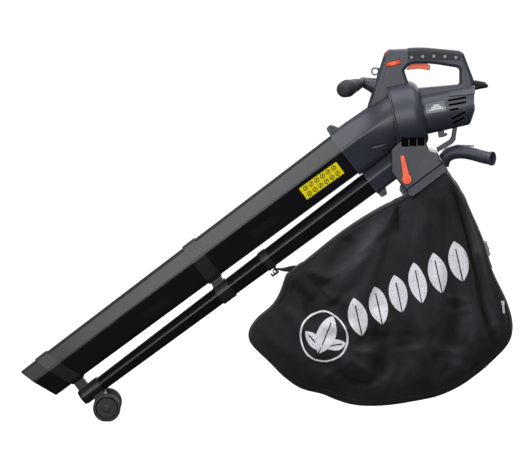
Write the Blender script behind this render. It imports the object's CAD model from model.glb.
import math

import bmesh
import bpy
import numpy as np
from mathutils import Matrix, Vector
from mathutils.bvhtree import BVHTree


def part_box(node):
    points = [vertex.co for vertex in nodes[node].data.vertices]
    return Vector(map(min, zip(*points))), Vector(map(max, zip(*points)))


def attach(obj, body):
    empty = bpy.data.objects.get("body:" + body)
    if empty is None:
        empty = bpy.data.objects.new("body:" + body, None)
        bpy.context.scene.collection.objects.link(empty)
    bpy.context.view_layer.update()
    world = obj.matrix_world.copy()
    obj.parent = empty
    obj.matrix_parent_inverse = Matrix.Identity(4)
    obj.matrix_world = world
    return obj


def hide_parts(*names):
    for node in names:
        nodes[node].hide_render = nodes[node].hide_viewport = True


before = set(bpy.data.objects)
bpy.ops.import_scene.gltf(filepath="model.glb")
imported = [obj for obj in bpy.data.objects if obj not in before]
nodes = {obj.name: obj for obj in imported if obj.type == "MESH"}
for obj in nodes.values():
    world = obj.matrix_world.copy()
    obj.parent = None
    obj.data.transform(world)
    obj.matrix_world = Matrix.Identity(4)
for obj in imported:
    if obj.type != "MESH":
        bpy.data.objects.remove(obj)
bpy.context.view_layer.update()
scene = bpy.context.scene
link = scene.collection.objects.link

# ------------------------------------------------------------------------------------ camera
# A long lens at about the height of the tubes, square to the machine's left side.
# It looks down by a few degrees.
CAMERA_AIM = Vector((-0.3486, 0.0, -0.3644))
CAMERA_AZIMUTH, CAMERA_HEIGHT, CAMERA_DISTANCE = math.radians(0.0), math.radians(5.0), 12.0
FIELD_WIDTH = 1.113

camera_data = bpy.data.cameras.new("camera")
camera_data.sensor_width = 36.0
camera_data.lens = 36.0 * CAMERA_DISTANCE / FIELD_WIDTH
camera_data.clip_end = 200.0
camera = bpy.data.objects.new("camera", camera_data)
link(camera)
look = Vector((-math.sin(CAMERA_AZIMUTH) * math.cos(CAMERA_HEIGHT),
               math.cos(CAMERA_AZIMUTH) * math.cos(CAMERA_HEIGHT), -math.sin(CAMERA_HEIGHT)))
camera.location = CAMERA_AIM - look * CAMERA_DISTANCE
camera.rotation_euler = look.to_track_quat("-Z", "Y").to_euler()
scene.camera = camera

# ------------------------------------------------------------------------------------ supply lead
# Rubber-sheathed lead: out of the rear cover, curling behind the motor barrel, hanging down on the far side.
# The first point is inside the bend protector, and the last one is at the plug.
LEAD_ROUTE = [
    (0.0705, -0.006, -0.045), (0.0952, 0.0003, -0.049), (0.1133, 0.019, -0.053), (0.1187, 0.0444, -0.057),
    (0.1098, 0.0688, -0.060), (0.0893, 0.0848, -0.065), (0.060, 0.094, -0.082), (0.028, 0.098, -0.104),
    (0.0, 0.101, -0.134), (-0.016, 0.105, -0.174), (-0.022, 0.109, -0.220), (-0.023, 0.112, -0.262),
]
LEAD_DIAMETER = 0.0076

lead_curve = bpy.data.curves.new("supply_lead_sheath", "CURVE")
lead_curve.dimensions = "3D"
lead_line = lead_curve.splines.new("NURBS")
lead_line.points.add(len(LEAD_ROUTE) - 1)
for point, place in zip(lead_line.points, LEAD_ROUTE):
    point.co = (*place, 1.0)
lead_line.order_u = 3
lead_line.use_endpoint_u = True
lead_line.resolution_u = 12
lead_curve.bevel_depth = LEAD_DIAMETER / 2
lead_curve.bevel_resolution = 4
lead_curve.use_fill_caps = True
lead = bpy.data.objects.new("supply_lead_sheath", lead_curve)
link(lead)


# ------------------------------------------------------------------------------------ motor housing
# Two glass-filled nylon shells with a fine spark-eroded grain, and a spine strip and rear cover of the same.
# They are screwed together from the right; edges that hands and leaves rub are a little paler.
def socket_group(name, inputs, outputs):
    """An empty shader node group with named sockets. Each socket is (name, type, default)."""
    group = bpy.data.node_groups.new(name, "ShaderNodeTree")
    for label, kind, default in inputs:
        made = group.interface.new_socket(label, in_out="INPUT", socket_type=kind)
        if default is not None:
            made.default_value = default
    for label, kind, _ in outputs:
        group.interface.new_socket(label, in_out="OUTPUT", socket_type=kind)
    return group, group.nodes.new("NodeGroupInput"), group.nodes.new("NodeGroupOutput")


def put(tree, kind, **settings):
    """Adds a node. Settings that name an input set its value, and the others set the node's properties."""
    node = tree.nodes.new(kind)
    for key, value in settings.items():
        if hasattr(node, key):
            setattr(node, key, value)
        else:
            node.inputs[key].default_value = value
    return node


FLOAT, COLOUR, VECTOR = "NodeSocketFloat", "NodeSocketColor", "NodeSocketVector"

grain_group, grain_in, grain_out = socket_group(
    "moulded grain",
    [("Grain Size", FLOAT, 0.0008), ("Depth", FLOAT, 0.2), ("Roughness", FLOAT, 0.5),
     ("Variation", FLOAT, 0.1),
     ("Colour", COLOUR, (0.1, 0.1, 0.1, 1.0)), ("Edge Colour", COLOUR, (0.2, 0.2, 0.2, 1.0)),
     ("Edge Wear", FLOAT, 0.5)],
    [("Colour", COLOUR, None), ("Roughness", FLOAT, None), ("Normal", VECTOR, None)])
tree = grain_group
place = put(tree, "ShaderNodeTexCoord")
inverse = put(tree, "ShaderNodeMath", operation="DIVIDE")
inverse.inputs[0].default_value = 1.0
tree.links.new(grain_in.outputs["Grain Size"], inverse.inputs[1])
fine = put(tree, "ShaderNodeTexNoise", Detail=2.0, Roughness=0.6)
tree.links.new(place.outputs["Object"], fine.inputs["Vector"])
tree.links.new(inverse.outputs[0], fine.inputs["Scale"])
broad = put(tree, "ShaderNodeTexNoise", Scale=14.0, Detail=4.0, Roughness=0.6)
tree.links.new(place.outputs["Object"], broad.inputs["Vector"])
bump = put(tree, "ShaderNodeBump", Distance=0.0004)
tree.links.new(grain_in.outputs["Depth"], bump.inputs["Strength"])
tree.links.new(fine.outputs["Fac"], bump.inputs["Height"])
tree.links.new(bump.outputs["Normal"], grain_out.inputs["Normal"])
centred = put(tree, "ShaderNodeMath", operation="SUBTRACT")
centred.inputs[1].default_value = 0.5
tree.links.new(broad.outputs["Fac"], centred.inputs[0])
spread = put(tree, "ShaderNodeMath", operation="MULTIPLY_ADD")
tree.links.new(centred.outputs[0], spread.inputs[0])
tree.links.new(grain_in.outputs["Variation"], spread.inputs[1])
tree.links.new(grain_in.outputs["Roughness"], spread.inputs[2])
tree.links.new(spread.outputs[0], grain_out.inputs["Roughness"])
shape = put(tree, "ShaderNodeNewGeometry")
edge = put(tree, "ShaderNodeMapRange")
edge.inputs["From Min"].default_value = 0.52
edge.inputs["From Max"].default_value = 0.62
tree.links.new(shape.outputs["Pointiness"], edge.inputs["Value"])
worn = put(tree, "ShaderNodeMath", operation="MULTIPLY")
tree.links.new(edge.outputs["Result"], worn.inputs[0])
tree.links.new(grain_in.outputs["Edge Wear"], worn.inputs[1])
blotch = put(tree, "ShaderNodeMath", operation="MULTIPLY")
tree.links.new(worn.outputs[0], blotch.inputs[0])
tree.links.new(broad.outputs["Fac"], blotch.inputs[1])
tone = put(tree, "ShaderNodeMix", data_type="RGBA")
tree.links.new(blotch.outputs[0], tone.inputs["Factor"])
tree.links.new(grain_in.outputs["Colour"], tone.inputs["A"])
tree.links.new(grain_in.outputs["Edge Colour"], tone.inputs["B"])
tree.links.new(tone.outputs["Result"], grain_out.inputs["Colour"])


def moulded(name, colour, roughness, grain=0.0008, depth=0.2, variation=0.12, wear=0.35, specular=0.5,
            coat=0.0, metallic=0.0):
    """A moulded finish: grain, broad changes of gloss, and paler edges."""
    material = bpy.data.materials.new(name)
    material.use_nodes = True
    tree = material.node_tree
    shader = tree.nodes["Principled BSDF"]
    shader.inputs["Specular IOR Level"].default_value = specular
    shader.inputs["Coat Weight"].default_value = coat
    shader.inputs["Coat Roughness"].default_value = 0.08
    shader.inputs["Metallic"].default_value = metallic
    group = tree.nodes.new("ShaderNodeGroup")
    group.node_tree = grain_group
    group.inputs["Grain Size"].default_value = grain
    group.inputs["Depth"].default_value = depth
    group.inputs["Roughness"].default_value = roughness
    group.inputs["Variation"].default_value = variation
    group.inputs["Colour"].default_value = (*colour, 1.0)
    group.inputs["Edge Colour"].default_value = (*[min(1.0, c * 1.9 + 0.02) for c in colour], 1.0)
    group.inputs["Edge Wear"].default_value = wear
    tree.links.new(group.outputs["Colour"], shader.inputs["Base Color"])
    tree.links.new(group.outputs["Roughness"], shader.inputs["Roughness"])
    tree.links.new(group.outputs["Normal"], shader.inputs["Normal"])
    return material


def dress(material, *names):
    """Gives CAD nodes or pieces a material in place of their own."""
    for name in names:
        piece = nodes.get(name) or bpy.data.objects[name]
        piece.data.materials.clear()
        piece.data.materials.append(material)
        for face in getattr(piece.data, "polygons", []):
            face.material_index = 0


charcoal = moulded("charcoal nylon", (0.029, 0.033, 0.047), 0.44, depth=0.18)
dress(charcoal, "housing_left", "housing_right", "spine_cover", "rear_cover", "lead_loop", "strap_eye",
      "front_handle_core", "fan_casing", "intake_cover", "bag_frame", "bag_frame_grip")

# ----------------------------------------------------------------------------------- screens behind the vents
# Sheets of black foam just inside the drum's slots keep leaves out of the motor.
# Pads of the same foam line the three pockets on each side of the fan box.
foam = bpy.data.materials.new("black foam")
foam.use_nodes = True
foam_shader = foam.node_tree.nodes["Principled BSDF"]
foam_shader.inputs["Specular IOR Level"].default_value = 0.0
foam_pores = put(foam.node_tree, "ShaderNodeTexNoise", Scale=900.0, Detail=2.0)
foam_tone = put(foam.node_tree, "ShaderNodeMapRange")
foam_tone.inputs["To Min"].default_value, foam_tone.inputs["To Max"].default_value = 0.0015, 0.006
foam.node_tree.links.new(foam_pores.outputs["Fac"], foam_tone.inputs["Value"])
foam.node_tree.links.new(foam_tone.outputs["Result"], foam_shader.inputs["Base Color"])
SHAFT_TILT = math.radians(12.0)
SCREEN_RADIUS, SCREEN_THICKNESS, SCREEN_STEPS, SCREEN_ENDS = 0.0384, 0.0007, 24, (0.026, 0.070)
SCREEN_LOW, SCREEN_HIGH = math.radians(-66), math.radians(62)
SIDES = ((-1, "left"), (1, "right"))
BLOCK_FACES = ((0, 1, 3, 2), (4, 6, 7, 5), (0, 4, 5, 1), (2, 3, 7, 6), (0, 2, 6, 4), (1, 5, 7, 3))
low, high = (np.array(corner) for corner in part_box("motor_shaft"))
axis_at = (low + high) / 2


def solid(name, corners, quads, material, body):
    """A closed piece from corners and faces, with its faces turned outward."""
    mesh = bpy.data.meshes.new(name)
    mesh.from_pydata([tuple(map(float, corner)) for corner in corners], [], quads)
    mesh.validate()
    shaped = bmesh.new()
    shaped.from_mesh(mesh)
    bmesh.ops.recalc_face_normals(shaped, faces=shaped.faces)
    shaped.to_mesh(mesh)
    shaped.free()
    mesh.materials.append(material)
    piece = bpy.data.objects.new(name, mesh)
    link(piece)
    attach(piece, body)
    return piece


def sheet_faces(rows, columns):
    """Faces that close two layers of rows x columns points, the second layer after the first."""
    layer = rows * columns
    made = []
    for r in range(rows - 1):
        for c in range(columns - 1):
            a = r * columns + c
            made.append((a, a + 1, a + columns + 1, a + columns))
            made.append((layer + a, layer + a + columns, layer + a + columns + 1, layer + a + 1))
    rim = list(range(columns)) + [r * columns + columns - 1 for r in range(1, rows)]
    rim += [(rows - 1) * columns + c for c in range(columns - 2, -1, -1)]
    rim += [r * columns for r in range(rows - 2, 0, -1)]
    for a, b in zip(rim, rim[1:] + rim[:1]):
        made.append((b, a, layer + a, layer + b))
    return made


for side, word in SIDES:
    screen_points = []
    for radius in (SCREEN_RADIUS, SCREEN_RADIUS + SCREEN_THICKNESS):
        for angle in np.linspace(SCREEN_LOW, SCREEN_HIGH, SCREEN_STEPS):
            for run in SCREEN_ENDS:
                up = radius * math.sin(angle)
                screen_points.append((axis_at[0] + run * math.cos(SHAFT_TILT) - up * math.sin(SHAFT_TILT),
                                      side * radius * math.cos(angle),
                                      axis_at[2] + run * math.sin(SHAFT_TILT) + up * math.cos(SHAFT_TILT)))
    screen = solid(f"vent_screen_{word}", screen_points, sheet_faces(SCREEN_STEPS, 2), foam, "machine")

POCKET_FIRST_X, POCKET_PITCH, POCKET_WIDTH, POCKET_FLOOR = -0.0640, 0.0166, 0.0154, 0.0517
POCKET_LOW, POCKET_HIGH, POCKET_STEP, POCKETS = -0.1777, -0.1583, 0.001, 3
PAD_INSET, PAD_GAP, PAD_THICKNESS = 0.0003, 0.0001, 0.0005
for side, word in SIDES:
    pad_points, pad_faces = [], []
    for k in range(POCKETS):
        x0 = POCKET_FIRST_X + POCKET_PITCH * k + PAD_INSET
        pad_faces += [[len(pad_points) + corner for corner in quad] for quad in BLOCK_FACES]
        for y in (POCKET_FLOOR + PAD_GAP, POCKET_FLOOR + PAD_GAP + PAD_THICKNESS):
            for x in (x0, x0 + POCKET_WIDTH - 2 * PAD_INSET):
                for z in (POCKET_LOW + POCKET_STEP * k, POCKET_HIGH):
                    pad_points.append((x, side * y, z))
    pads = solid(f"pocket_pads_{word}", pad_points, pad_faces, foam, "machine")


# ------------------------------------------------------------------------------------ tubes
# Blow-moulded black polyethylene, smooth and glossy.
# Leaves go up the large tube, and air comes down the small one.
gloss_black = moulded("glossy tube", (0.0065, 0.0065, 0.0075), 0.30, grain=0.03, depth=0.0, variation=0.05,
                      wear=0.0, specular=0.32, coat=0.06)
dress(gloss_black, "suction_tube_upper", "suction_tube_lower", "blow_tube_upper", "blow_tube_lower")

# ------------------------------------------------------------------------------- arrows and label on the tube
# Arrows moulded on the tube's side show which way the air goes. A yellow vinyl label is stuck on above them.
TUBE_SLOPE = math.radians(35.8)
ARROWS = [("suction_tube_upper", (-0.3475, -0.3444)), ("suction_tube_lower", (-0.5754, -0.5166))]
ARROW_SHAPE = [(-0.036, 0.0075), (0.012, 0.0075), (0.012, 0.0125), (0.036, 0.0004)]
LABEL_AT, LABEL_HALF_LENGTH, LABEL_HALF_WIDTH = (-0.2303, -0.2500), 0.0480, 0.01475


def on_side(name, tube, centre, stations, lift, thickness, material, steps=10, slope=TUBE_SLOPE):
    """A thin piece that follows a tube's near side. Stations are (distance along, half width)."""
    tube_mesh = nodes[tube].data
    tree = BVHTree.FromPolygons([v.co[:] for v in tube_mesh.vertices],
                                [p.vertices[:] for p in tube_mesh.polygons])
    along = Vector((math.cos(slope), 0, math.sin(slope)))
    over = Vector((-math.sin(slope), 0, math.cos(slope)))
    lines = []
    for (s0, w0), (s1, w1) in zip(stations, stations[1:]):
        count = max(1, round(abs(s1 - s0) / 0.004))
        lines += [(s0 + (s1 - s0) * k / count, w0 + (w1 - w0) * k / count) for k in range(count)]
    lines.append(stations[-1])
    layers, flat_places = ([], []), []
    for s, w in lines:
        for share in np.linspace(-1, 1, steps + 1):
            aim = Vector((centre[0], 0, centre[1])) + along * s + over * (w * share)
            hit, normal, _, _ = tree.ray_cast(Vector((aim.x, -0.3, aim.z)), Vector((0, 1, 0)))
            if normal.y > 0:
                normal = -normal
            layers[0].append(hit + normal * lift)
            layers[1].append(hit + normal * (lift + thickness))
            flat_places.append((s, w * share, 0.0))
    piece = solid(name, layers[0] + layers[1], sheet_faces(len(lines), steps + 1), material, "machine")
    laid = piece.data.attributes.new("flat_place", "FLOAT_VECTOR", "POINT")
    laid.data.foreach_set("vector", np.array(flat_places * 2).ravel())
    return piece


arrow_black = moulded("arrow black", (0.004, 0.004, 0.0045), 0.5, depth=0.1, wear=0.0, specular=0.35)
for number, (tube, centre) in enumerate(ARROWS):
    arrow = on_side(f"flow_arrow_{number + 1}", tube, centre, ARROW_SHAPE, -0.0003, 0.0012, arrow_black)

vinyl = bpy.data.materials.new("yellow vinyl")
vinyl.use_nodes = True
tree = vinyl.node_tree
vinyl_shader = tree.nodes["Principled BSDF"]
vinyl_shader.inputs["Roughness"].default_value = 0.35
flat_at = put(tree, "ShaderNodeAttribute", attribute_name="flat_place")
flat_split = put(tree, "ShaderNodeSeparateXYZ")
tree.links.new(flat_at.outputs["Vector"], flat_split.inputs[0])
SIGN_PITCH, SIGN_RADIUS = 0.0145, 0.0046


def sum_of(tree, operation, a, b=None):
    """A math node whose inputs are sockets or numbers. Returns its output."""
    node = put(tree, "ShaderNodeMath", operation=operation)
    for slot, value in enumerate((a, b)):
        if value is None:
            continue
        if isinstance(value, (int, float)):
            node.inputs[slot].default_value = value
        else:
            tree.links.new(value, node.inputs[slot])
    return node.outputs[0]


def from_cell(axis):
    """How far a place is from the middle of its cell."""
    turns = sum_of(tree, "FRACT", sum_of(tree, "DIVIDE", flat_split.outputs[axis], SIGN_PITCH))
    return sum_of(tree, "MULTIPLY", sum_of(tree, "SUBTRACT", turns, 0.5), SIGN_PITCH)


cell_x, cell_y = from_cell("X"), from_cell("Y")
sign_reach = sum_of(tree, "SQRT", sum_of(tree, "ADD", sum_of(tree, "MULTIPLY", cell_x, cell_x),
                                         sum_of(tree, "MULTIPLY", cell_y, cell_y)))
ring = sum_of(tree, "LESS_THAN", sum_of(tree, "ABSOLUTE", sum_of(tree, "SUBTRACT", sign_reach, SIGN_RADIUS)),
              0.0007)
bar = sum_of(tree, "LESS_THAN", sum_of(tree, "ABSOLUTE", sum_of(tree, "SUBTRACT", cell_x, cell_y)), 0.0013)
bar = sum_of(tree, "MULTIPLY", bar, sum_of(tree, "LESS_THAN", sign_reach, SIGN_RADIUS))
in_row = sum_of(tree, "LESS_THAN", sum_of(tree, "ABSOLUTE", flat_split.outputs["X"]), SIGN_PITCH * 3)
signs = sum_of(tree, "MULTIPLY", sum_of(tree, "MAXIMUM", ring, bar), in_row)
vinyl_tone = put(tree, "ShaderNodeMix", data_type="RGBA")
vinyl_tone.inputs["A"].default_value = (1.0, 0.84, 0.008, 1.0)
vinyl_tone.inputs["B"].default_value = (0.02, 0.02, 0.02, 1.0)
tree.links.new(signs, vinyl_tone.inputs["Factor"])
tree.links.new(vinyl_tone.outputs["Result"], vinyl_shader.inputs["Base Color"])
label = on_side("tube_label", "suction_tube_upper", LABEL_AT,
                [(-LABEL_HALF_LENGTH, LABEL_HALF_WIDTH), (LABEL_HALF_LENGTH, LABEL_HALF_WIDTH)], 0.0002,
                0.0003, vinyl)

# ------------------------------------------------------------------------------------ clamps, hook and wheels
# Injection-moulded black nylon, satin; the wheels are the same stuff with a notched tread.
# The fans, the flap and the parts under the grip are moulded from it too.
satin_black = moulded("satin black nylon", (0.012, 0.012, 0.014), 0.42, depth=0.12)
dress(satin_black, "tube_clamp", "nozzle_collar", "strap_hook", "bag_latch", "change_over_flap", "axle_caps",
      "mulching_fan", "cooling_fan", "switch_block", "speed_control")
tread = moulded("wheel nylon", (0.010, 0.010, 0.011), 0.5, depth=0.25)
dress(tread, "wheel_left", "wheel_right")

# ------------------------------------------------------------------------------------ orange controls
# Trigger, speed wheel, lock button and change-over lever in through-coloured orange nylon.
# The lever's screw is the same colour.
orange = moulded("orange nylon", (0.95, 0.105, 0.022), 0.36, depth=0.1, wear=0.2)
dress(orange, "trigger", "speed_dial", "lock_button", "change_over_lever", "lever_screw")

# ------------------------------------------------------------------------------ soft grips and bend protector
# Thermoplastic rubber, matt, moulded over the handle and the front grip. Small hard studs stand on the
# handle's.
# A ribbed sleeve of the same rubber keeps the lead from bending sharply where it comes out.
soft = moulded("soft rubber", (0.026, 0.028, 0.034), 0.66, grain=0.0012, depth=0.35, wear=0.1, specular=0.35)
dress(soft, "soft_grip", "front_handle_grip")
stud = moulded("grip stud", (0.24, 0.25, 0.29), 0.45, depth=0.05)
dress(stud, "grip_studs")
lead_rubber = moulded("lead rubber", (0.012, 0.012, 0.013), 0.55, grain=0.0015, depth=0.2, wear=0.0,
                      specular=0.4)
lead.data.materials.append(lead_rubber)
dress(lead_rubber, "plug_body")
BOOT_LENGTH, BOOT_FOOT, BOOT_TIP, RIB_PITCH, RIB_DEPTH = 0.052, 0.0070, 0.0060, 0.0075, 0.0018


def geometry_tree(name, inputs):
    """A geometry tree that starts from a line of points. Each input is (name, type, default)."""
    tree = bpy.data.node_groups.new(name, "GeometryNodeTree")
    for label, kind, default in [("Geometry", "NodeSocketGeometry", None), *inputs,
                                 ("Material", "NodeSocketMaterial", None)]:
        made = tree.interface.new_socket(label, in_out="INPUT", socket_type=kind)
        if default is not None:
            made.default_value = default
    tree.interface.new_socket("Geometry", in_out="OUTPUT", socket_type="NodeSocketGeometry")
    given, result = tree.nodes.new("NodeGroupInput"), tree.nodes.new("NodeGroupOutput")
    line = put(tree, "GeometryNodeMeshToCurve")
    tree.links.new(given.outputs["Geometry"], line.inputs["Mesh"])
    painted = put(tree, "GeometryNodeSetMaterial")
    tree.links.new(given.outputs["Material"], painted.inputs["Material"])
    tree.links.new(painted.outputs["Geometry"], result.inputs["Geometry"])
    return tree, given, line.outputs["Curve"], painted.inputs["Geometry"]


def applied(piece):
    """The piece's mesh with its modifiers applied."""
    mesh = bpy.data.meshes.new_from_object(piece.evaluated_get(bpy.context.evaluated_depsgraph_get()))
    old = piece.data
    piece.modifiers.clear()
    piece.data = mesh
    mesh.name = piece.name
    bpy.data.meshes.remove(old)
    return mesh


def grown(name, path, tree, body, values, closed=False):
    """A piece that a geometry tree makes from a line of points."""
    mesh = bpy.data.meshes.new(name)
    edges = [(k, k + 1) for k in range(len(path) - 1)] + ([(len(path) - 1, 0)] if closed else [])
    mesh.from_pydata([tuple(map(float, point)) for point in path], edges, [])
    piece = bpy.data.objects.new(name, mesh)
    made = piece.modifiers.new("made", "NODES")
    made.node_group = tree
    for item in tree.interface.items_tree:
        if item.in_out == "INPUT" and item.name in values:
            made[item.identifier] = values[item.name]
    link(piece)
    applied(piece)
    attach(piece, body)
    return piece


sleeve_tree, given, line, out = geometry_tree("ribbed sleeve", [
    ("Foot Radius", FLOAT, 0.006), ("Tip Radius", FLOAT, 0.005), ("Rib Pitch", FLOAT, 0.005),
    ("Rib Depth", FLOAT, 0.001)])
tree = sleeve_tree
even = put(tree, "GeometryNodeResampleCurve", Count=110)
tree.links.new(line, even.inputs["Curve"])
along = put(tree, "GeometryNodeSplineParameter")
taper = put(tree, "ShaderNodeMapRange")
tree.links.new(along.outputs["Factor"], taper.inputs["Value"])
tree.links.new(given.outputs["Foot Radius"], taper.inputs["To Min"])
tree.links.new(given.outputs["Tip Radius"], taper.inputs["To Max"])
rib_turns = sum_of(tree, "MULTIPLY",
                   sum_of(tree, "DIVIDE", along.outputs["Length"], given.outputs["Rib Pitch"]), math.tau)
rib = sum_of(tree, "MULTIPLY", sum_of(tree, "SINE", rib_turns), 3.0)
rib = sum_of(tree, "MULTIPLY", sum_of(tree, "MINIMUM", sum_of(tree, "MAXIMUM", rib, -1.0), 0.0),
             given.outputs["Rib Depth"])
sleeve_radius = sum_of(tree, "ADD", taper.outputs["Result"], rib)
round_profile = put(tree, "GeometryNodeCurvePrimitiveCircle", Resolution=24, Radius=1.0)
skin = put(tree, "GeometryNodeCurveToMesh")
skin.inputs["Fill Caps"].default_value = True
tree.links.new(even.outputs["Curve"], skin.inputs["Curve"])
tree.links.new(round_profile.outputs["Curve"], skin.inputs["Profile Curve"])
tree.links.new(sleeve_radius, skin.inputs["Scale"])
tree.links.new(skin.outputs["Mesh"], out)

middle = lead_curve.copy()
middle.bevel_depth = 0.0
middle_line = bpy.data.meshes.new_from_object(bpy.data.objects.new("lead_middle", middle))
boot_path = [middle_line.vertices[0].co.copy()]
gone = 0.0
for vertex in middle_line.vertices[1:]:
    gone += (vertex.co - boot_path[-1]).length
    if gone > BOOT_LENGTH:
        break
    boot_path.append(vertex.co.copy())
boot = grown("bend_protector", boot_path, sleeve_tree, "machine", {
    "Foot Radius": BOOT_FOOT, "Tip Radius": BOOT_TIP, "Rib Pitch": RIB_PITCH, "Rib Depth": RIB_DEPTH,
    "Material": soft})
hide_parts("cord_boot")
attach(lead, "machine")
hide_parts("supply_lead")

# ------------------------------------------------------------------------------------ metal parts
# Zinc-plated screws and pins, a steel shaft, laminated iron cores, enamelled copper and cast aluminium.
# The badge is a small painted plate in the drum's side, with three plain stripes printed on it.
steel = moulded("zinc plated steel", (0.55, 0.56, 0.58), 0.32, grain=0.002, depth=0.08, metallic=1.0,
                wear=0.0)
dress(steel, "wheel_axle", "trigger_pin", "handle_bolt", "motor_shaft", "fan_nut", "front_bearing",
      "rear_bearing")
blacked = moulded("blacked steel", (0.03, 0.03, 0.033), 0.4, grain=0.002, depth=0.08, metallic=0.6, wear=0.0)
dress(blacked, "casing_fixings", "housing_screws")
iron = moulded("laminated iron", (0.25, 0.25, 0.26), 0.45, metallic=1.0, wear=0.0)
dress(iron, "stator_core", "armature_core")
copper = moulded("enamelled copper", (0.72, 0.30, 0.13), 0.35, metallic=1.0, wear=0.0)
dress(copper, "field_coils", "armature_windings", "commutator", "brush_holders", "plug_pins")
dress(moulded("cast aluminium", (0.62, 0.63, 0.65), 0.45, metallic=1.0, wear=0.0), "motor_brackets")
dress(moulded("brush carbon", (0.02, 0.02, 0.02), 0.7), "carbon_brushes")
dress(moulded("badge paint", (0.11, 0.12, 0.14), 0.34, depth=0.05), "badge_plate")
badge_ink = moulded("badge ink", (0.70, 0.72, 0.75), 0.4, depth=0.02, wear=0.0)
BADGE_SLOPE = math.radians(11.0)
badge_low, badge_high = (np.array(corner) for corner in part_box("badge_plate"))
badge_middle = (badge_low + badge_high) / 2
STRIPE_HALF_WIDTH, STRIPE_PITCH, STRIPE_REACHES = 0.0010, 0.0040, (0.0145, 0.0105, 0.0065)
STRIPE_X, STRIPE_Z = badge_middle[0] + 0.001, badge_middle[2] - 0.0040
for number, reach in enumerate(STRIPE_REACHES):
    stripe = on_side(f"badge_stripe_{number + 1}", "badge_plate",
                     (STRIPE_X, STRIPE_Z + STRIPE_PITCH * number),
                     [(-reach, STRIPE_HALF_WIDTH), (reach, STRIPE_HALF_WIDTH)], 0.0001, 0.0003, badge_ink, 2,
                     BADGE_SLOPE)

# ------------------------------------------------------------------------------------ debris bag
# A sewn bag of black woven polyester that hangs from the collar: two side panels joined by a gusset all
# round.
# Leaves and air fill it out, and it creases beside the rear seam and below the collar. It wears a white
# print.
BAG_EDGE = [
    (-0.0560, -0.2870), (-0.0972, -0.3049), (-0.1512, -0.3366), (-0.1964, -0.3681), (-0.2415, -0.4043),
    (-0.2688, -0.4267), (-0.2980, -0.4515), (-0.3070, -0.4809), (-0.3251, -0.5124), (-0.3591, -0.5376),
    (-0.3784, -0.5668), (-0.3725, -0.5939), (-0.3318, -0.6342), (-0.3047, -0.6615), (-0.2688, -0.6863),
    (-0.2234, -0.6976), (-0.1964, -0.7090), (-0.1558, -0.7200), (-0.0972, -0.7205), (-0.0340, -0.7111),
    (0.0202, -0.6985), (0.0743, -0.6705), (0.1285, -0.6254), (0.1600, -0.5893), (0.1674, -0.5531),
    (0.1556, -0.5036), (0.1262, -0.4404), (0.1061, -0.3728), (0.0790, -0.3095), (0.0676, -0.2825),
    (0.0428, -0.2507), (0.0220, -0.2340),
]
BAG_MIDDLE = np.array((-0.085, -0.520))
AROUND, ACROSS, GUSSET_ROWS = 220, 34, 6
GUSSET_HALF, FULL_HALF = 0.030, 0.080
COLLAR_HALF = 0.050


def even_outline(corners, count):
    """Points spaced evenly round a smooth closed line through the given ones."""
    given = np.array(corners)
    n = len(given)
    line = []
    for i in range(n):
        p0, p1, p2, p3 = given[i - 1], given[i], given[(i + 1) % n], given[(i + 2) % n]
        for t in np.linspace(0, 1, 20, endpoint=False):
            line.append(0.5 * (2 * p1 + (p2 - p0) * t + (2 * p0 - 5 * p1 + 4 * p2 - p3) * t ** 2
                               + (3 * p1 - p0 - 3 * p2 + p3) * t ** 3))
    line = np.array(line)
    along = np.concatenate([[0], np.cumsum(np.linalg.norm(np.roll(line, -1, 0) - line, axis=1))])
    closed = np.vstack([line, line[:1]])
    where = np.linspace(0, along[-1], count, endpoint=False)
    return np.stack([np.interp(where, along, closed[:, k]) for k in range(2)], 1)


def off_line(places, line):
    """How far each (x, z) place is from a line of points, on which side, and how far along it is."""
    line = np.array(line)
    best = np.full(len(places), 1e9)
    side, share = np.zeros(len(places)), np.zeros(len(places))
    for k in range(len(line) - 1):
        a, b = line[k], line[k + 1]
        run = b - a
        t = np.clip(((places - a) @ run) / (run @ run), 0, 1)
        gap = places - (a + t[:, None] * run)
        far = np.linalg.norm(gap, axis=1)
        nearer = far < best
        best = np.where(nearer, far, best)
        side = np.where(nearer, np.sign(run[0] * gap[:, 1] - run[1] * gap[:, 0]), side)
        share = np.where(nearer, (k + t) / (len(line) - 1), share)
    return best, side, share


outline = even_outline(BAG_EDGE, AROUND)
closed_outline = np.vstack([outline, outline[:1]])
collar_x = np.clip((outline[:, 1] + 0.36) / 0.11, 0, 1)
edge_half = GUSSET_HALF + (COLLAR_HALF - GUSSET_HALF) * collar_x ** 2 * (3 - 2 * collar_x)


def half_thickness(places, edge):
    """Half the bag's thickness at (x, z) places: from that of the nearest edge to full in the middle."""
    reach = off_line(places, closed_outline)[0]
    return edge + (FULL_HALF - edge) * (1 - np.exp(-((reach / 0.075) ** 1.3)))


rows = [outline + (BAG_MIDDLE - outline) * (ring / ACROSS) for ring in range(ACROSS)]
panel = np.vstack(rows + [BAG_MIDDLE[None, :]])
edge = np.concatenate([edge_half * (1 - ring / ACROSS) + 0.05 * ring / ACROSS for ring in range(ACROSS)]
                      + [[0.05]])
half = half_thickness(panel, edge)
half[:AROUND] = edge_half
points = [(x, side * h, z) for side in (-1, 1) for (x, z), h in zip(panel, half)]
side_count = len(panel)
gusset_start = len(points)
for row in range(1, GUSSET_ROWS):
    share = row / GUSSET_ROWS
    for k in range(AROUND):
        out = (outline[k] - BAG_MIDDLE) / np.linalg.norm(outline[k] - BAG_MIDDLE)
        push = 0.005 * math.sin(math.pi * share)
        points.append((outline[k][0] + out[0] * push, edge_half[k] * (2 * share - 1),
                       outline[k][1] + out[1] * push))


def gusset_point(row, k):
    if row in (0, GUSSET_ROWS):
        return (side_count if row else 0) + k % AROUND
    return gusset_start + (row - 1) * AROUND + k % AROUND


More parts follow.
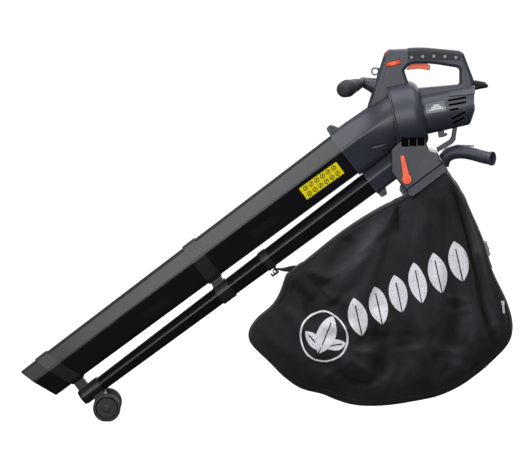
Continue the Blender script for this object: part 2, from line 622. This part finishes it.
faces = []
for far in (0, 1):
    base = far * side_count
    for ring in range(ACROSS):
        for k in range(AROUND):
            a, b = base + ring * AROUND + k, base + ring * AROUND + (k + 1) % AROUND
            inner = (b + AROUND, a + AROUND) if ring < ACROSS - 1 else (base + side_count - 1,)
            face = (a, b, *inner)
            faces.append(face if far else face[::-1])
for row in range(GUSSET_ROWS):
    for k in range(AROUND):
        faces.append((gusset_point(row, k), gusset_point(row, k + 1), gusset_point(row + 1, k + 1),
                      gusset_point(row + 1, k)))
bag_mesh = bpy.data.meshes.new("bag_cloth")
bag_mesh.from_pydata(points, [], faces)
shaped = bmesh.new()
shaped.from_mesh(bag_mesh)
bmesh.ops.recalc_face_normals(shaped, faces=shaped.faces)
shaped.to_mesh(bag_mesh)
shaped.free()
bag = bpy.data.objects.new("bag_cloth", bag_mesh)
link(bag)

# An even net of cloth, cut a little larger than the bag's shape so that it buckles as it settles.
net = bag.modifiers.new("net", "REMESH")
net.mode, net.voxel_size = "VOXEL", 0.0062
smooth = bag.modifiers.new("soften", "SMOOTH")
smooth.factor, smooth.iterations = 0.5, 4


def places_of(mesh):
    flat = np.empty(len(mesh.vertices) * 3)
    mesh.vertices.foreach_get("co", flat)
    return flat.reshape(-1, 3)


cut = applied(bag)
rest = places_of(cut)
laid = cut.attributes.new("cloth_place", "FLOAT_VECTOR", "POINT")
laid.data.foreach_set("vector", np.stack([rest[:, 0], rest[:, 2], np.sign(rest[:, 1])], 1).ravel())
SETTLE_FRAMES, SETTLE_CAP, SEAM_CAP = 26, 0.014, 0.0015
collar_line = [(-0.062, -0.290), (0.050, -0.243)]
held = off_line(rest[:, [0, 2]], collar_line)[0] < 0.020
held |= np.linalg.norm(rest[:, [0, 2]] - np.array((-0.285, -0.440)), axis=1) < 0.018
pins = bag.vertex_groups.new(name="held")
pins.add(np.flatnonzero(held).tolist(), 1.0, "REPLACE")
settle = bag.modifiers.new("settle", "CLOTH")
cloth = settle.settings
cloth.quality, cloth.mass, cloth.air_damping = 5, 0.12, 3.0
cloth.tension_stiffness = cloth.compression_stiffness = 22.0
cloth.shear_stiffness, cloth.bending_stiffness = 8.0, 0.5
cloth.vertex_group_mass = "held"
cloth.shrink_min = -0.065
cloth.use_pressure = True
cloth.uniform_pressure_force = 1.6
cloth.effector_weights.gravity = 0.2
settle.collision_settings.use_collision = False
settle.collision_settings.use_self_collision = False
settle.point_cache.frame_start, settle.point_cache.frame_end = 1, SETTLE_FRAMES
for step in range(1, SETTLE_FRAMES + 1):
    scene.frame_set(step)
moved = places_of(bag.evaluated_get(bpy.context.evaluated_depsgraph_get()).data) - rest
bag.modifiers.clear()
scene.frame_set(1)
far = np.linalg.norm(moved, axis=1)
# The seams are stiffer than the panels, so the outline hardly moves.
slack = np.clip(off_line(rest[:, [0, 2]], closed_outline)[0] / 0.05, 0, 1)
cap = SEAM_CAP + (SETTLE_CAP - SEAM_CAP) * slack
rest = rest + moved * np.minimum(1.0, cap / np.maximum(far, 1e-9))[:, None]

FOLD_STRENGTH = 1.35
# Folds that the hand has pressed in: (line of x, z), height, half width. A negative height is a crease.
FOLDS = [
    ([(0.0400, -0.2450), (0.0609, -0.3255), (0.0714, -0.3623), (0.0924, -0.4515), (0.1029, -0.5145),
      (0.1292, -0.5933)], -0.017, 0.006),
    ([(0.0540, -0.2500), (0.0770, -0.3200), (0.0890, -0.3700), (0.1090, -0.4450), (0.1250, -0.5100),
      (0.1430, -0.5800)], 0.009, 0.009),
    ([(-0.0730, -0.2960), (-0.0720, -0.3620)], -0.011, 0.004),
    ([(-0.1000, -0.3300), (-0.1300, -0.3700), (-0.1700, -0.4350), (-0.2050, -0.4900)], 0.007, 0.016),
    ([(-0.1350, -0.3420), (-0.2000, -0.4100), (-0.2500, -0.4750)], -0.005, 0.014),
    ([(-0.0350, -0.3000), (-0.0250, -0.3400), (-0.0400, -0.3800)], 0.005, 0.014),
    ([(0.0150, -0.2850), (0.0250, -0.3300), (0.0300, -0.3800)], -0.006, 0.012),
    ([(-0.2900, -0.4700), (-0.2600, -0.5000), (-0.2450, -0.5500)], -0.007, 0.012),
    ([(-0.3100, -0.5200), (-0.2850, -0.5350), (-0.2700, -0.5700)], 0.006, 0.012),
    ([(-0.0500, -0.5000), (-0.0200, -0.5600), (-0.0250, -0.6200), (-0.0500, -0.6700)], 0.006, 0.018),
    ([(-0.1100, -0.5600), (-0.1000, -0.6200), (-0.1300, -0.6750)], -0.006, 0.015),
    ([(0.0450, -0.4700), (0.0500, -0.5300), (0.0350, -0.5900), (0.0000, -0.6400)], -0.006, 0.016),
    ([(0.0900, -0.5100), (0.0800, -0.5900), (0.0500, -0.6450)], 0.005, 0.014),
    ([(-0.2400, -0.6200), (-0.1900, -0.6500), (-0.1500, -0.6900)], -0.005, 0.014),
    ([(-0.3300, -0.5900), (-0.2700, -0.6200), (-0.2200, -0.6250)], 0.004, 0.015),
]
# Small crumples, mostly low down where the cloth is slack.
CRUMPLES, CRUMPLE_HEIGHT, CRUMPLE_WIDTH = 60, 0.0036, 0.0075
dice = np.random.default_rng(11)
for _ in range(CRUMPLES):
    x, z = dice.uniform(-0.27, 0.13), dice.uniform(-0.68, -0.47 if dice.random() < 0.75 else -0.33)
    turn, reach = dice.uniform(-0.4, 2.2), dice.uniform(0.014, 0.034)
    lean = dice.uniform(-0.5, 0.5)
    FOLDS.append(([(x - reach * math.cos(turn), z - reach * math.sin(turn)), (x, z),
                   (x + reach * math.cos(turn + lean), z + reach * math.sin(turn + lean))],
                  dice.choice((-1.0, 1.0)) * CRUMPLE_HEIGHT, CRUMPLE_WIDTH))
flat = rest[:, [0, 2]]
inset = off_line(flat, closed_outline)[0]
raised = np.zeros(len(rest))
for line, height, width in FOLDS:
    reach, _, share = off_line(flat, line)
    fade = np.sin(np.pi * np.clip(share, 0.02, 0.98)) ** 0.5
    raised += FOLD_STRENGTH * height * np.exp(-((reach / width) ** 2)) * fade * np.clip(inset / 0.012, 0, 1)
rest[:, 1] += np.sign(rest[:, 1]) * raised
crests = cut.attributes.new("crest", "FLOAT", "POINT")
crests.data.foreach_set("value", raised)
cut.vertices.foreach_set("co", rest.ravel())
cut.update()
finer = bag.modifiers.new("finer", "SUBSURF")
finer.levels = finer.render_levels = 1
bag_mesh = applied(bag)
for face in bag_mesh.polygons:
    face.use_smooth = True

weave_group, weave_in, weave_out = socket_group(
    "woven cloth",
    [("Thread", FLOAT, 0.0011), ("Depth", FLOAT, 0.4), ("Colour", COLOUR, (0.01, 0.01, 0.01, 1.0)),
     ("Worn Colour", COLOUR, (0.03, 0.03, 0.03, 1.0)), ("Roughness", FLOAT, 0.8)],
    [("Colour", COLOUR, None), ("Roughness", FLOAT, None), ("Normal", VECTOR, None),
     ("Thread Mask", FLOAT, None)])
tree = weave_group
place = put(tree, "ShaderNodeTexCoord")
split = put(tree, "ShaderNodeSeparateXYZ")
tree.links.new(place.outputs["Object"], split.inputs[0])
turns = put(tree, "ShaderNodeMath", operation="DIVIDE")
turns.inputs[0].default_value = math.pi
tree.links.new(weave_in.outputs["Thread"], turns.inputs[1])


def thread_wave(a, b):
    """A ridge across the sum or difference of two axes, one ridge for each thread."""
    joined = put(tree, "ShaderNodeMath", operation="ADD" if b > 0 else "SUBTRACT")
    tree.links.new(split.outputs["X"], joined.inputs[0])
    tree.links.new(split.outputs[a], joined.inputs[1])
    scaled = put(tree, "ShaderNodeMath", operation="MULTIPLY")
    tree.links.new(joined.outputs[0], scaled.inputs[0])
    tree.links.new(turns.outputs[0], scaled.inputs[1])
    wave = put(tree, "ShaderNodeMath", operation="SINE")
    tree.links.new(scaled.outputs[0], wave.inputs[0])
    return wave


warp, weft = thread_wave("Z", 1), thread_wave("Z", -1)
crossed = put(tree, "ShaderNodeMath", operation="MULTIPLY")
tree.links.new(warp.outputs[0], crossed.inputs[0])
tree.links.new(weft.outputs[0], crossed.inputs[1])
slub = put(tree, "ShaderNodeTexNoise", Scale=420.0, Detail=3.0, Roughness=0.65)
tree.links.new(place.outputs["Object"], slub.inputs["Vector"])
height = put(tree, "ShaderNodeMath", operation="ADD")
tree.links.new(crossed.outputs[0], height.inputs[0])
tree.links.new(slub.outputs["Fac"], height.inputs[1])
bump = put(tree, "ShaderNodeBump", Distance=0.0004)
tree.links.new(weave_in.outputs["Depth"], bump.inputs["Strength"])
tree.links.new(height.outputs[0], bump.inputs["Height"])
tree.links.new(bump.outputs["Normal"], weave_out.inputs["Normal"])
rubbed = put(tree, "ShaderNodeTexNoise", Scale=9.0, Detail=5.0, Roughness=0.6)
tree.links.new(place.outputs["Object"], rubbed.inputs["Vector"])
rub = put(tree, "ShaderNodeMapRange")
rub.inputs["From Min"].default_value, rub.inputs["From Max"].default_value = 0.42, 0.7
tree.links.new(rubbed.outputs["Fac"], rub.inputs["Value"])
lint = put(tree, "ShaderNodeMath", operation="MULTIPLY")
tree.links.new(rub.outputs["Result"], lint.inputs[0])
tree.links.new(slub.outputs["Fac"], lint.inputs[1])
tone = put(tree, "ShaderNodeMix", data_type="RGBA")
tree.links.new(lint.outputs[0], tone.inputs["Factor"])
tree.links.new(weave_in.outputs["Colour"], tone.inputs["A"])
tree.links.new(weave_in.outputs["Worn Colour"], tone.inputs["B"])
tree.links.new(tone.outputs["Result"], weave_out.inputs["Colour"])
duller = put(tree, "ShaderNodeMath", operation="MULTIPLY_ADD")
duller.inputs[1].default_value = 0.12
tree.links.new(crossed.outputs[0], duller.inputs[0])
tree.links.new(weave_in.outputs["Roughness"], duller.inputs[2])
tree.links.new(duller.outputs[0], weave_out.inputs["Roughness"])
tree.links.new(slub.outputs["Fac"], weave_out.inputs["Thread Mask"])


def woven(name, colour, worn, thread=0.0011, depth=0.4, roughness=0.78):
    """A woven finish. Returns the material, its shader and its weave node."""
    material = bpy.data.materials.new(name)
    material.use_nodes = True
    tree = material.node_tree
    shader = tree.nodes["Principled BSDF"]
    shader.inputs["Specular IOR Level"].default_value = 0.3
    shader.inputs["Sheen Weight"].default_value = 0.12
    shader.inputs["Sheen Roughness"].default_value = 0.45
    weave = tree.nodes.new("ShaderNodeGroup")
    weave.node_tree = weave_group
    weave.inputs["Thread"].default_value = thread
    weave.inputs["Depth"].default_value = depth
    weave.inputs["Colour"].default_value = (*colour, 1.0)
    weave.inputs["Worn Colour"].default_value = (*worn, 1.0)
    weave.inputs["Roughness"].default_value = roughness
    for socket, target in (("Colour", "Base Color"), ("Roughness", "Roughness"), ("Normal", "Normal")):
        tree.links.new(weave.outputs[socket], shader.inputs[target])
    return material, shader, weave


# The print's leaf shape: where two circles overlap, with a bare midrib. Its sockets are in metres.
leaf_group, leaf_in, leaf_out = socket_group(
    "printed leaf", [("Place", VECTOR, None), ("Half Length", FLOAT, 0.036), ("Half Width", FLOAT, 0.014),
                     ("Rib", FLOAT, 0.0013)], [("Mask", FLOAT, None)])


tree = leaf_group
leaf_split = put(tree, "ShaderNodeSeparateXYZ")
tree.links.new(leaf_in.outputs["Place"], leaf_split.inputs[0])
length, width = leaf_in.outputs["Half Length"], leaf_in.outputs["Half Width"]
# Both circles have radius (length squared + width squared) / (2 width) and lie to either side.
radius = sum_of(tree, "DIVIDE", sum_of(tree, "ADD", sum_of(tree, "MULTIPLY", length, length),
                                       sum_of(tree, "MULTIPLY", width, width)),
                                       sum_of(tree, "MULTIPLY", width, 2.0))
offset = sum_of(tree, "SUBTRACT", radius, width)
across = sum_of(tree, "ADD", sum_of(tree, "ABSOLUTE", leaf_split.outputs["X"]), offset)
upright = leaf_split.outputs["Y"]
distance = sum_of(tree, "SQRT", sum_of(tree, "ADD", sum_of(tree, "MULTIPLY", across, across),
                                       sum_of(tree, "MULTIPLY", upright, upright)))
inside = sum_of(tree, "LESS_THAN", distance, radius)
beside_rib = sum_of(tree, "GREATER_THAN", sum_of(tree, "ABSOLUTE", leaf_split.outputs["X"]),
                    leaf_in.outputs["Rib"])
above_foot = sum_of(tree, "GREATER_THAN", upright, sum_of(tree, "MULTIPLY", length, 0.62))
tree.links.new(sum_of(tree, "MULTIPLY", inside, sum_of(tree, "MAXIMUM", beside_rib, above_foot)),
               leaf_out.inputs["Mask"])

bag_cloth, bag_shader, bag_weave = woven("woven polyester", (0.0042, 0.0044, 0.0052), (0.021, 0.022, 0.025))
tree = bag_cloth.node_tree
laid_at = put(tree, "ShaderNodeAttribute", attribute_name="cloth_place")
laid_split = put(tree, "ShaderNodeSeparateXYZ")
tree.links.new(laid_at.outputs["Vector"], laid_split.inputs[0])
near_side = sum_of(tree, "LESS_THAN", laid_split.outputs["Z"], -0.5)
PRINT_SLOPE = math.radians(33.0)
LEAF_ROW = [(-0.1530 + 0.0412 * k, -0.5200 + 0.0222 * k, 0.0410, 0.0190) for k in range(6)]
EMBLEM_AT, EMBLEM_R = (-0.2230, -0.5660), 0.050


def leaf_mask(x, z, half_length, half_width, turn):
    """A leaf in the print, with its foot turned from upright."""
    centre = put(tree, "ShaderNodeMapping", vector_type="TEXTURE")
    centre.inputs["Location"].default_value = (x, z, 0.0)
    centre.inputs["Rotation"].default_value = (0.0, 0.0, turn)
    tree.links.new(laid_at.outputs["Vector"], centre.inputs["Vector"])
    leaf = tree.nodes.new("ShaderNodeGroup")
    leaf.node_tree = leaf_group
    leaf.inputs["Half Length"].default_value = half_length
    leaf.inputs["Half Width"].default_value = half_width
    tree.links.new(centre.outputs[0], leaf.inputs["Place"])
    return leaf.outputs["Mask"]


masks = [leaf_mask(x, z, hl, hw, PRINT_SLOPE - 0.35) for x, z, hl, hw in LEAF_ROW]
masks += [leaf_mask(EMBLEM_AT[0] + dx, EMBLEM_AT[1] + dz, hl, hw, turn)
          for dx, dz, hl, hw,
          turn in ((0.004, 0.004, 0.042, 0.020, -0.35), (-0.021, -0.010, 0.026, 0.012, 0.75),
                                       (0.025, -0.016, 0.023, 0.011, -1.25))]
from_x = sum_of(tree, "SUBTRACT", laid_split.outputs["X"], EMBLEM_AT[0])
from_z = sum_of(tree, "SUBTRACT", laid_split.outputs["Y"], EMBLEM_AT[1])
emblem_reach = sum_of(tree, "SQRT", sum_of(tree, "ADD", sum_of(tree, "MULTIPLY", from_x, from_x),
                                           sum_of(tree, "MULTIPLY", from_z, from_z)))
masks.append(sum_of(tree, "LESS_THAN", sum_of(
    tree, "ABSOLUTE", sum_of(tree, "SUBTRACT", emblem_reach, EMBLEM_R)), 0.0019))
printed = masks[0]
for mask in masks[1:]:
    printed = sum_of(tree, "MAXIMUM", printed, mask)
# The ink has missed the bottoms of the weave here and there.
thin_ink = sum_of(tree, "GREATER_THAN", bag_weave.outputs["Thread Mask"], 0.37)
printed = sum_of(tree, "MULTIPLY", sum_of(tree, "MULTIPLY", printed, near_side), thin_ink)
inked = put(tree, "ShaderNodeMix", data_type="RGBA")
inked.inputs["B"].default_value = (0.74, 0.75, 0.78, 1.0)
tree.links.new(printed, inked.inputs["Factor"])
# Crests of the folds are rubbed paler and creases hold dirt.
crest_at = put(tree, "ShaderNodeAttribute", attribute_name="crest")
crest_share = put(tree, "ShaderNodeMapRange")
for label, value in (("From Min", -0.009), ("From Max", 0.009), ("To Min", 0.15), ("To Max", 3.0)):
    crest_share.inputs[label].default_value = value
tree.links.new(crest_at.outputs["Fac"], crest_share.inputs["Value"])
rubbed_cloth = put(tree, "ShaderNodeVectorMath", operation="SCALE")
tree.links.new(bag_weave.outputs["Colour"], rubbed_cloth.inputs[0])
tree.links.new(crest_share.outputs["Result"], rubbed_cloth.inputs["Scale"])
tree.links.new(rubbed_cloth.outputs[0], inked.inputs["A"])
tree.links.new(inked.outputs["Result"], bag_shader.inputs["Base Color"])
bag_mesh.materials.clear()
bag_mesh.materials.append(bag_cloth)
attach(bag, "bag")
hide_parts("bag_fabric")

# ------------------------------------------------------------------------------------ bag seams
# Both seams round the gusset are piped and topstitched on the side panels.
# The stitches are a running thread a little inside the piping.
PIPING_RADIUS, STITCH_INSET, STITCH_PITCH = 0.0015, 0.0075, 0.0046
STITCH_RADIUS, STITCH_LENGTH = 0.00035, 0.0030
bag_skin = BVHTree.FromPolygons([v.co[:] for v in bag_mesh.vertices],
                                [p.vertices[:] for p in bag_mesh.polygons])
tape, tape_shader, tape_weave = woven("bag tape", (0.006, 0.006, 0.0065), (0.024, 0.024, 0.026), 0.0009, 0.5,
                                      0.7)
thread = moulded("bag thread", (0.035, 0.035, 0.038), 0.6, depth=0.0, wear=0.0)

piping_tree, given, line, out = geometry_tree("piping", [("Radius", FLOAT, 0.0015)])
round_profile = put(piping_tree, "GeometryNodeCurvePrimitiveCircle", Resolution=10)
piping_tree.links.new(given.outputs["Radius"], round_profile.inputs["Radius"])
skin = put(piping_tree, "GeometryNodeCurveToMesh")
piping_tree.links.new(line, skin.inputs["Curve"])
piping_tree.links.new(round_profile.outputs["Curve"], skin.inputs["Profile Curve"])
piping_tree.links.new(skin.outputs["Mesh"], out)

stitch_tree, given, line, out = geometry_tree("stitches",
                                              [("Pitch", FLOAT, 0.0046), ("Radius", FLOAT, 0.0004),
                                                           ("Length", FLOAT, 0.003)])
tree = stitch_tree
spots = put(tree, "GeometryNodeCurveToPoints", mode="LENGTH")
tree.links.new(line, spots.inputs["Curve"])
tree.links.new(given.outputs["Pitch"], spots.inputs["Length"])
facing = put(tree, "FunctionNodeAlignRotationToVector", axis="Z")
tree.links.new(spots.outputs["Tangent"], facing.inputs["Vector"])
stitch = put(tree, "GeometryNodeMeshCylinder", Vertices=6)
tree.links.new(given.outputs["Radius"], stitch.inputs["Radius"])
tree.links.new(given.outputs["Length"], stitch.inputs["Depth"])
sewn = put(tree, "GeometryNodeInstanceOnPoints")
tree.links.new(spots.outputs["Points"], sewn.inputs["Points"])
tree.links.new(stitch.outputs["Mesh"], sewn.inputs["Instance"])
tree.links.new(facing.outputs["Rotation"], sewn.inputs["Rotation"])
real = put(tree, "GeometryNodeRealizeInstances")
tree.links.new(sewn.outputs["Instances"], real.inputs["Geometry"])
tree.links.new(real.outputs["Geometry"], out)


def evened(path, closed):
    """The path with each point moved to the middle of its neighbours, a few times over."""
    path = np.array(path, dtype=float)
    for _ in range(4):
        before, after = np.roll(path, 1, 0), np.roll(path, -1, 0)
        if not closed:
            before[0], after[-1] = path[0], path[-1]
        path = (before + 2 * path + after) / 4
    return path


inward = BAG_MIDDLE - outline
inward /= np.linalg.norm(inward, axis=1)[:, None]
for side, word in ((-1, "left"), (1, "right")):
    seam, topstitch = [], []
    for (x, z), half_here, turn in zip(outline, edge_half, inward):
        seam.append(bag_skin.find_nearest(Vector((x, side * half_here, z)))[0])
        hit, normal, _, _ = bag_skin.ray_cast(Vector((x + turn[0] * STITCH_INSET, side * 0.3,
                                                      z + turn[1] * STITCH_INSET)),
                                              Vector((0, -side, 0)))
        if hit is not None:
            topstitch.append(hit + Vector((0, side * STITCH_RADIUS, 0)))
    piping = grown(f"bag_piping_{word}", evened(seam, True), piping_tree, "bag",
                   {"Radius": PIPING_RADIUS, "Material": tape}, closed=True)
    stitches = grown(f"bag_stitches_{word}", topstitch, stitch_tree, "bag",
                     {"Pitch": STITCH_PITCH, "Radius": STITCH_RADIUS, "Length": STITCH_LENGTH,
                      "Material": thread})

# ------------------------------------------------------------------------------------ bag strap
# Polyester webbing loops round the hook on the tube and is sewn to the bag's front corner.
# It is turned from level, so that its face shows.
STRAP_WIDTH, WEBBING_THICKNESS = 0.0165, 0.0015
STRAP_ROUTE = [(-0.3215, -0.4470), (-0.3270, -0.4490), (-0.3318, -0.4465), (-0.3315, -0.4415),
               (-0.3265, -0.4385),
               (-0.3190, -0.4395), (-0.3100, -0.4405), (-0.3010, -0.4400), (-0.2920, -0.4385),
               (-0.2830, -0.4375)]
STRAP_TWIST = math.radians(38.0)


def webbing(name, route, widths, twists, body, material):
    """A flat strap along an (x, z) route, as wide as it says and turned from level at each point."""
    route = np.array(route)
    run = np.gradient(route, axis=0)
    layers = [], []
    for (x, z), (dx, dz), width, twist in zip(route, run, widths, twists):
        ahead = Vector((dx, 0, dz)).normalized()
        flat = Vector((-ahead.z, 0, ahead.x))
        across = Vector((0, 1, 0)) * math.cos(twist) + flat * math.sin(twist)
        out = flat * math.cos(twist) - Vector((0, 1, 0)) * math.sin(twist)
        for share in np.linspace(-1, 1, 7):
            at = Vector((x, 0, z)) + across * (share * width / 2)
            crown = out * (0.0006 * (1 - share ** 2))
            layers[0].append(at - out * WEBBING_THICKNESS / 2 + crown)
            layers[1].append(at + out * WEBBING_THICKNESS / 2 + crown)
    piece = solid(name, layers[0] + layers[1], sheet_faces(len(route), 7), material, body)
    for face in piece.data.polygons:
        face.use_smooth = True
    return piece


strap_line = evened(np.repeat(np.array(STRAP_ROUTE), 3, 0), False)
shares = np.clip((strap_line[:, 0] + 0.325) / 0.03, 0, 1)
strap = webbing("bag_webbing", strap_line, [STRAP_WIDTH] * len(strap_line), STRAP_TWIST * shares, "bag", tape)
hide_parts("bag_strap")

# ------------------------------------------------------------------------------------ buckle and zip
# A grey ladder buckle tightens a strap on the rear of the bag. The zip below it empties the bag.
# The strap runs through the buckle and down the bag's rear edge.
BUCKLE_AT, BUCKLE_ALONG = Vector((0.1165, 0.0, -0.3960)), Vector((0.285, 0.0, -0.958)).normalized()
BUCKLE_HALF_WIDTH, BUCKLE_BARS, BAR_HALF = 0.0135, (-0.0125, 0.0, 0.0125), 0.0018
buckle_nylon = moulded("buckle nylon", (0.16, 0.165, 0.18), 0.4, depth=0.08)
outward = Vector((-BUCKLE_ALONG.z, 0.0, BUCKLE_ALONG.x))


def blocks(name, parts, material, body, edge):
    """One piece from several blocks with soft edges. Each is a centre and three arms to its faces."""
    corners, quads = [], []
    for centre, along, across, out in parts:
        quads += [[len(corners) + corner for corner in quad] for quad in BLOCK_FACES]
        corners += [centre + along * a + across * b + out * c
                    for a in (-1, 1) for b in (-1, 1) for c in (-1, 1)]
    piece = solid(name, corners, quads, material, body)
    rounded = piece.modifiers.new("rounded", "BEVEL")
    rounded.width, rounded.segments = edge, 2
    applied(piece)
    return piece


BAR_SHORTER, BAR_DEPTH, MIDDLE_BAR_LIFT = 0.0005, 0.0022, 0.0035
RAIL_HALF_LENGTH, RAIL_HALF_WIDTH, RAIL_DEPTH, RAIL_LIFT = 0.0148, 0.0018, 0.0032, 0.0012
crosswise = Vector((0, 1, 0))
buckle_parts = [(BUCKLE_AT + BUCKLE_ALONG * offset + outward * (MIDDLE_BAR_LIFT if offset == 0 else 0.0),
                 BUCKLE_ALONG * BAR_HALF, crosswise * (BUCKLE_HALF_WIDTH - BAR_SHORTER), outward * BAR_DEPTH)
                for offset in BUCKLE_BARS]
buckle_parts += [(BUCKLE_AT + crosswise * (side * BUCKLE_HALF_WIDTH) + outward * RAIL_LIFT,
                  BUCKLE_ALONG * RAIL_HALF_LENGTH, crosswise * RAIL_HALF_WIDTH, outward * RAIL_DEPTH)
                 for side in (-1, 1)]
buckle = blocks("ladder_buckle", buckle_parts, buckle_nylon, "bag", 0.0007)
tail_route = [(0.0945, -0.3450), (0.1025, -0.3620), (0.1090, -0.3780), (0.1160, -0.3950), (0.1190, -0.4100),
              (0.1235, -0.4250), (0.1285, -0.4360)]
tail_line = evened(np.repeat(np.array(tail_route), 3, 0), False)
tail = webbing("buckle_webbing", tail_line, [0.020] * len(tail_line), [0.0] * len(tail_line), "bag", tape)

ZIP_ROUTE = [(0.1440, -0.4830), (0.1490, -0.5030), (0.1535, -0.5240), (0.1570, -0.5480), (0.1570, -0.5620)]
TOOTH_PITCH, TOOTH_RADIUS, TOOTH_LENGTH = 0.0021, 0.0016, 0.0011
zip_metal = moulded("zip metal", (0.62, 0.63, 0.65), 0.3, depth=0.0, metallic=1.0, wear=0.0)
zip_path = []
for x, z in evened(np.repeat(np.array(ZIP_ROUTE), 6, 0), False):
    hit, normal, _, _ = bag_skin.ray_cast(Vector((x, -0.3, z)), Vector((0, 1, 0)))
    if hit is not None:
        zip_path.append(hit + Vector((0, -0.0006, 0)))
zip_path = evened(zip_path, False)
teeth = grown("zip_teeth", zip_path, stitch_tree, "bag",
              {"Pitch": TOOTH_PITCH, "Radius": TOOTH_RADIUS, "Length": TOOTH_LENGTH, "Material": thread})
slider_at = Vector(zip_path[len(zip_path) // 3])
pull_along = Vector((0.12, 0.0, -0.99)).normalized()
pull_out = Vector((0, -1, 0))
pull_side = Vector((-pull_along.z, 0, pull_along.x))
SLIDER_HALVES, SLIDER_LIFT = (0.0045, 0.0034, 0.0022), 0.0018
TAB_HALVES, TAB_REACH, TAB_LIFT = (0.0095, 0.0026, 0.0007), 0.0125, 0.0030
pull_parts = [(centre, pull_along * halves[0], pull_side * halves[1], pull_out * halves[2]) for centre,
              halves in (
    (slider_at + pull_out * SLIDER_LIFT, SLIDER_HALVES),
    (slider_at + pull_along * TAB_REACH + pull_out * TAB_LIFT, TAB_HALVES))]
pull = blocks("zip_pull", pull_parts, zip_metal, "bag", 0.0005)

# ------------------------------------------------------------------------------------ floor and lights
# A plain pale floor that runs out to a pale background, with large soft lights.
# The floor gives off some light, to be as pale as the background.
floor_mesh = bpy.data.meshes.new("floor")
reach, floor_z = 90.0, -0.7545
floor_mesh.from_pydata([(-reach, -reach, floor_z), (reach, -reach, floor_z), (reach, reach, floor_z),
                        (-reach, reach, floor_z)],
                       [], [(0, 1, 2, 3)])
floor = bpy.data.objects.new("floor", floor_mesh)
link(floor)
floor_paint = bpy.data.materials.new("pale floor")
floor_paint.use_nodes = True
paint = floor_paint.node_tree.nodes["Principled BSDF"]
paint.inputs["Roughness"].default_value = 0.9
paint.inputs["Specular IOR Level"].default_value = 0.0
speckle = put(floor_paint.node_tree, "ShaderNodeTexNoise", Scale=60.0, Detail=3.0)
paint_tone = put(floor_paint.node_tree, "ShaderNodeMapRange")
paint_tone.inputs["To Min"].default_value, paint_tone.inputs["To Max"].default_value = 0.33, 0.36
floor_paint.node_tree.links.new(speckle.outputs["Fac"], paint_tone.inputs["Value"])
floor_paint.node_tree.links.new(paint_tone.outputs["Result"], paint.inputs["Base Color"])
paint.inputs["Emission Color"].default_value = (1.0, 1.0, 1.0, 1.0)
paint.inputs["Emission Strength"].default_value = 0.88
floor_mesh.materials.append(floor_paint)
floor.visible_diffuse = False
floor.visible_glossy = False

world = bpy.data.worlds.new("studio")
scene.world = world
world.use_nodes = True
sky = world.node_tree
backdrop = sky.nodes["Background"]
backdrop.inputs["Color"].default_value = (1.0, 1.0, 1.0, 1.0)
room = put(sky, "ShaderNodeBackground", Strength=1.0)
direction = put(sky, "ShaderNodeTexCoord")
upward = put(sky, "ShaderNodeSeparateXYZ")
sky.links.new(direction.outputs["Generated"], upward.inputs[0])
ramp = put(sky, "ShaderNodeValToRGB")
ramp.color_ramp.elements[0].position, ramp.color_ramp.elements[0].color = 0.0, (0.05, 0.05, 0.055, 1)
ramp.color_ramp.elements[1].position, ramp.color_ramp.elements[1].color = 0.95, (0.62, 0.64, 0.70, 1)
sky.links.new(upward.outputs["Z"], ramp.inputs["Fac"])
sky.links.new(ramp.outputs["Color"], room.inputs["Color"])
paths = put(sky, "ShaderNodeLightPath")
seen = put(sky, "ShaderNodeMixShader")
sky.links.new(paths.outputs["Is Camera Ray"], seen.inputs["Fac"])
sky.links.new(room.outputs[0], seen.inputs[1])
sky.links.new(backdrop.outputs[0], seen.inputs[2])
sky.links.new(seen.outputs[0], sky.nodes["World Output"].inputs["Surface"])


def soft_light(name, place, aim, size, power):
    data = bpy.data.lights.new(name, "AREA")
    data.shape = "RECTANGLE"
    data.size, data.size_y = size
    data.energy = power
    light = bpy.data.objects.new(name, data)
    light.location = place
    light.rotation_euler = (Vector(aim) - Vector(place)).to_track_quat("-Z", "Y").to_euler()
    link(light)


soft_light("key", (-1.75, -0.5, 1.7), (-0.4, 0, -0.3), (1.0, 1.8), 30)
soft_light("overhead", (0.3, -0.4, 2.6), (-0.2, 0, -0.3), (2.6, 2.6), 60)
soft_light("front", (-0.6, -3.6, 0.45), (-0.3, 0, -0.35), (2.4, 1.4), 84)
soft_light("rim", (0.6, 2.4, 0.7), (-0.3, 0, -0.3), (1.6, 2.4), 30)
scene.view_settings.view_transform = "Standard"
